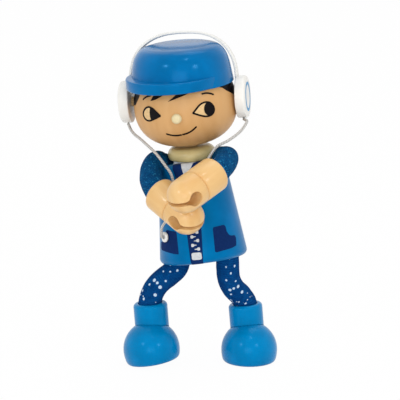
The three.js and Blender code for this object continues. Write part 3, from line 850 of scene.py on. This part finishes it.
def makeCap():
    f = capForm
    low, high, edge = f["bottom"], f["bottom"] + f["brimHeight"], f["brimEdge"]
    profile = [(0, low)] + profileLine(f["crown"], f["crownStep"]) + [(f["flat"], f["top"]), (0, f["top"])]
    crown = turnedForm(profile, f["steps"])
    rim = arcLine(f["brimRadius"] - edge, low + edge, edge, -90, 0, f["rimSteps"])
    rim += arcLine(f["brimRadius"] - edge, high - edge, edge, 0, 90, f["rimSteps"])
    brim = turnedForm([(0, low)] + rim + [(0, high)], f["steps"])
    bmesh.ops.translate(brim, verts=brim.verts[:], vec=(0, -f["brimShift"], 0))
    bmesh.ops.rotate(brim, verts=brim.verts[:], cent=(0, 0, 0), matrix=rotated(f["brimTurn"], "Z").to_3x3())
    # both are hollow around the head
    inside = wearPlace.inverted() @ headPlace
    crown, brim = (cutAway(form, ballForm(f["inner"], inside)) for form in (crown, brim))
    mesh = bpy.data.meshes.new("brim")
    brim.to_mesh(mesh)
    crown.from_mesh(mesh)
    brim.free()
    return finishPiece(crown, "cap", wearPlace, capPaint, "head", ["cap"], smooth=32)


makeCap()

# headset
headsetForm = {"halfWidth": 16.2, "foot": 3.4, "straight": 6, "rise": 15.2, "power": 2.5, "thickness": 0.8,
               "width": 3, "archSteps": 48, "rimAngle": 60, "bevel": 0.22, "tilt": 12, "ear": (1, 1.2),
               "cupRadius": 6.35, "cupSpan": (16.1, 19.3), "cupFlat": 0.6, "cupBack": 0.45, "cupEdge": 0.8,
               "cupFace": 4.8, "cupDrop": 0.02, "cupSteps": 96, "backArc": (-60, 0, 4), "edgeArc": (0, 80, 8),
               "ring": (3.55, 4.4), "ringLift": 0.05, "ringDepth": 0.1, "ringSteps": 72}


def makeBand():
    f = headsetForm

    def arch(grow):
        points = []
        for i in range(f["archSteps"] + 1):
            a = math.pi * i / f["archSteps"]
            c, s = math.cos(a), math.sin(a)
            across = math.copysign(abs(c) ** (2 / f["power"]), c)
            up = max(s, 0) ** (2 / f["power"]) * (f["rise"] + grow)
            points.append((across * (f["halfWidth"] + grow), f["straight"] + up))
        return points

    half = f["thickness"] / 2
    outer, inner = f["halfWidth"] + half, f["halfWidth"] - half
    outline = [(outer, f["foot"])] + arch(half) + [(-outer, f["foot"]), (-inner, f["foot"])]
    outline += arch(-half)[::-1] + [(inner, f["foot"])]
    bm = plateForm([(x, -f["width"] / 2, z) for x, z in outline], (0, f["width"], 0))
    rims = [e for e in bm.edges if e.is_manifold and e.calc_face_angle(0) > math.radians(f["rimAngle"])]
    bmesh.ops.bevel(bm, geom=rims, offset=f["bevel"], segments=3, profile=0.5, affect="EDGES",
                    offset_type="OFFSET", material=-1)
    place = wearPlace @ (Matrix.Translation((0, f["ear"][0], 0)) @ rotated(-f["tilt"], "X"))
    return finishPiece(bm, "headBand", place, headsetWhite, "head", ["headband"], smooth=40)


def makeCup(side, sign):
    f = headsetForm
    near, far = f["cupSpan"]
    r, back, edge = f["cupRadius"], f["cupBack"], f["cupEdge"]
    profile = [(0, near), (r - f["cupFlat"], near)] + arcLine(r - back, near + back, back, *f["backArc"])
    profile += arcLine(r - edge, far - edge, edge, *f["edgeArc"])
    profile += [(f["cupFace"], far - f["cupDrop"]), (0, far)]
    cup = turnedForm(profile, f["cupSteps"])
    place = wearPlace @ Matrix.Translation((0, *f["ear"])) @ rotated(90 * sign, "Y")
    finishPiece(cup, side + "EarCup", place, headsetWhite, "head", ["ear_cup_" + side],
                smooth=50)
    (inner, outer), low, high = f["ring"], far - f["ringDepth"], far + f["ringLift"]
    profile = [(inner, low), (inner, high), (outer, high), (outer, low), (inner, low)]
    ring = turnedForm(profile, f["ringSteps"])
    finishPiece(ring, side + "CupRing", place, ringBlue, "head", smooth=40)


makeBand()
makeCup("left", 1)
makeCup("right", -1)
print("cap and headset made")

# hands
handForm = {"radius": 5.2, "fist": 5, "cuff": 8.2, "edge": 1.5, "steps": 96, "backSteps": 8, "fistSteps": 20,
            "grooveHalf": 0.55, "grooveDepth": 0.5, "grooveLip": (0.12, 0.32), "rows": (-3, -1.5), "grip": 2.2,
            "gripSteps": 24, "slot": 1.2, "lip": 1.8, "lipSteps": 8, "reach": 12, "halfCut": 10,
            "socket": 3.75, "socketDepth": 2.2, "socketSteps": 64, "clear": 3}


def gripOutline():
    # the hole opens into the slot over two rounded lips
    f = handForm
    half, lip = f["slot"] / 2, f["lip"]
    rise = math.sqrt((f["grip"] + lip) ** 2 - (half + lip) ** 2)
    meet = math.degrees(math.atan2(rise, half + lip))
    right = [(half, f["reach"])] + arcLine(half + lip, rise, lip, 180, 180 + meet, f["lipSteps"])
    right += arcLine(0, 0, f["grip"], meet, -90, f["gripSteps"])[1:]
    return right + [(-y, z) for y, z in right[-2::-1]]


def makeHand(side):
    f = handForm
    r, groove, back = f["radius"], -f["fist"], -f["fist"] - f["cuff"]
    shallow, near = f["grooveLip"]
    profile = [(0, back)] + arcLine(r - f["edge"], back + f["edge"], f["edge"], -90, 0, f["backSteps"])
    profile += [(r, groove - f["grooveHalf"]), (r - shallow, groove - near), (r - f["grooveDepth"], groove),
                (r - shallow, groove + near), (r, groove + f["grooveHalf"])] + [(r, z) for z in f["rows"]]
    profile += arcLine(0, 0, r, 0, 90, f["fistSteps"])[:-1] + [(0, r)]
    hand = turnedForm(profile, f["steps"])
    grip = plateForm([(-f["halfCut"], y, z) for y, z in gripOutline()], (2 * f["halfCut"], 0, 0))
    bottom, top = back - f["clear"], back + f["socketDepth"]
    socket = turnedForm([(0, bottom), (f["socket"], bottom), (f["socket"], top), (0, top)], f["socketSteps"])
    hand = cutAway(cutAway(hand, grip), socket)
    name = side + "_hand"
    return finishPiece(hand, side + "Hand", handPlaces[side], handWood[side], name, [name],
                       smooth=30)


makeHand("left")
makeHand("right")
print("hands made")

# feet
footForm = {"radius": 8.6, "drop": 3.6, "steps": 128, "cuffRadius": 5.2, "cuffFoot": 3.3, "cuffTop": 13.9,
            "cuffEdge": 1.1, "cuffSteps": 96, "cuffGap": 0.12, "socket": 3.8, "socketDepth": 2.2,
            "rimDrop": 0.05, "flat": 4, "sideStep": 0.25, "domeSteps": 36, "edgeSteps": 8, "edgeTurn": 70,
            "side": [(7.3, -3.6), (7.75, -3.48), (8.1, -3.1), (8.32, -2.5), (8.46, -1.8), (8.57, -0.9),
                     (8.6, 0)]}


def makeFoot(side):
    f = footForm
    body, paint = side + "_foot", footPaint[side]
    # a full side over the sole's rounded edge
    profile = [(0, -f["drop"]), (f["flat"], -f["drop"])] + profileLine(f["side"], f["sideStep"])
    profile += arcLine(0, 0, f["radius"], 0, 90, f["domeSteps"])[1:-1] + [(0, f["radius"])]
    ball = turnedForm(profile, f["steps"])
    finishPiece(ball, side + "FootBall", footPlaces[side], paint, body, [body + "_ball"],
                smooth=50)
    foot, top, r, edge = f["cuffFoot"], f["cuffTop"], f["cuffRadius"], f["cuffEdge"]
    deep = top - f["socketDepth"]
    profile = [(0, foot), (r, foot)] + arcLine(r - edge, top - edge, edge, 0, f["edgeTurn"], f["edgeSteps"])
    profile += [(f["socket"], top - f["rimDrop"]), (f["socket"], deep), (0, deep)]
    # the cuff is hollow over the ball
    inside = cuffPlaces[side].inverted() @ footPlaces[side]
    cuff = cutAway(turnedForm(profile, f["cuffSteps"]), ballForm(f["radius"] + f["cuffGap"], inside))
    finishPiece(cuff, side + "FootCuff", cuffPlaces[side], paint, body, [body + "_cuff"],
                smooth=40)


makeFoot("left")
makeFoot("right")
print("feet made")

# fabric sleeves over the wires, each in two parts: one from the body to the limb's middle, one from there to
# its end
sleeveForm = {"step": 0.5, "sides": 48, "uneven": 0.022, "unevenAround": 1.4, "unevenAlong": 0.55, "tuck": 0.06,
              "tuckLength": 0.6, "stiff": 3}
arm = {"radius": 3.45, "cloth": armCloth, "slot": "arm_fabric"}
leg = {"radius": 3.5, "cloth": legCloth, "slot": "leg_fabric"}
limbs = {
    "left_arm": {**arm, "end": "left_hand", "route": [
        (4.89, 5.97, 63.04), (5.59, 4.66, 63.26), (6.8, 0.6, 63.9), (8.3, -3.5, 64.8), (9.3, -8, 65.2),
        (9.4, -13.5, 64.4), (8.54, -18.76, 63.43), (7.28, -20.33, 62.55)]},
    "right_arm": {**arm, "end": "right_hand", "route": [
        (-12.12, 5.75, 60.51), (-12.82, 4.42, 60.52), (-13.6, 1, 61.9), (-14.2, -2.2, 61), (-14.05, -5.8, 59.3),
        (-13, -9.5, 57.8), (-10.65, -13.85, 55.78), (-8.97, -14.9, 54.84)]},
    "left_leg": {**leg, "end": "left_foot", "route": [
        (7.93, 1.1, 34.89), (8, 1.25, 30.5), (8.1, 2.8, 26.3), (9.2, 4.9, 22.8), (11.2, 7.3, 19.8),
        (12.26, 8, 17.75), (12.45, 8, 15.55)]},
    "right_leg": {**leg, "end": "right_foot", "route": [
        (-6.71, 0.91, 32.71), (-7.6, 0.3, 29.6), (-9.4, -0.1, 27.7), (-11.9, -0.7, 25.7), (-14.2, -1.3, 22.9),
        (-15.52, -1.7, 19.09), (-15.34, -1.7, 16.9)]},
}


def makeSleeve(name, limb):
    f = sleeveForm
    route = smoothLine(onDoll(limb["route"]), f["step"])
    middle = len(route) // 2
    tucked = lineLength(route[:middle])

    def width(walked, angle):
        # the cloth is a little uneven
        at = Vector((math.cos(angle) * f["unevenAround"], math.sin(angle) * f["unevenAround"],
                     walked * f["unevenAlong"]))
        return limb["radius"] * (1 + f["uneven"] * noise.noise(at))

    def tuckedWidth(walked, angle):
        # the lower part starts just inside the upper one
        return width(walked, angle) - f["tuck"] * max(0, 1 - (walked - tucked) / f["tuckLength"])

    def part(word, widthAt, first, past):
        bm = tubeForm(route, widthAt, f["sides"], first, past)
        sleeve = finishPiece(bm, name.replace("_", "") + word, Matrix.Identity(4), limb["cloth"],
                             None, [name + "_sleeve"], smooth=60)
        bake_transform(sleeve)

    part("Upper", width, 0, middle + 2)
    part("Lower", tuckedWidth, middle - 1, None)


for name, limb in limbs.items():
    makeSleeve(name, limb)
print("sleeves made")

# hidden pieces keep their solids
for name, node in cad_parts.items():
    hidden = steel if name.endswith("_wire") else dowelWood
    if hidden is steel or name == "neck_dowel" or name.startswith("ear_peg"):
        node.data.materials.clear()
        node.data.materials.append(hidden)

# floor and light, in metres
stage = {"floor": 4.0, "shade": (0.93, 0.93, 0.93, 1), "roughness": 0.9, "glow": 0.97, "world": 0.72,
         "aim": (0, 0, 0.05)}
white = (1, 1, 1, 1)
lamps = {
    "keyLamp": {"at": (-0.42, -0.75, 0.5), "size": 0.11, "power": 1.1},
    "sideLamp": {"at": (0.6, -0.6, 0.45), "size": 0.11, "power": 1},
    "topLamp": {"at": (0.05, 0.25, 0.95), "size": 0.5, "power": 1.3},
    "highLamp": {"at": (0.2, -0.45, 0.95), "size": 0.12, "power": 0.7},
    "frontLamp": {"at": (0.1, -0.85, 0.04), "size": 0.5, "power": 2.5},
}


def seenRays(tree):
    # the rays by which the camera, gloss and glass see the paper and the backdrop
    path = add(tree, "LightPath").outputs
    seen = maths(tree, "MAXIMUM", path["Is Camera Ray"], path["Is Transmission Ray"])
    return maths(tree, "MAXIMUM", seen, path["Is Glossy Ray"])


def makeFloor():
    bm = bmesh.new()
    bmesh.ops.create_grid(bm, x_segments=1, y_segments=1, size=stage["floor"])
    floor = meshObject(bm, "floor")
    material, tree, shader = startMaterial("floorPaper", stage["roughness"])
    shader.inputs["Base Color"].default_value = stage["shade"]
    glow = add(tree, "Emission", Color=white, Strength=1)
    mix = add(tree, "MixShader", n0=times(tree, seenRays(tree), stage["glow"]), n1=shader.outputs[0],
              n2=glow.outputs[0])
    tree.links.new(mix.outputs[0], tree.nodes["Material Output"].inputs["Surface"])
    floor.data.materials.append(material)


def makeWorld():
    world = bpy.data.worlds.new("studio")
    world.use_nodes = True
    scene.world = world
    tree = world.node_tree
    background = tree.nodes["Background"]
    tree.links.new(ramp(tree, seenRays(tree), 0, 1, stage["world"], 1), background.inputs["Strength"])
    background.inputs["Color"].default_value = white


def makeLamp(name, lamp):
    data = bpy.data.lights.new(name, "AREA")
    data.shape, data.size, data.energy = "SQUARE", lamp["size"], lamp["power"]
    light = addObject(name, data)
    light.location = lamp["at"]
    light.rotation_euler = (Vector(stage["aim"]) - Vector(lamp["at"])).to_track_quat("-Z", "Y").to_euler()


makeFloor()
makeWorld()
for name, lamp in lamps.items():
    makeLamp(name, lamp)
scene.view_settings.view_transform = "Standard"
print("stage made")
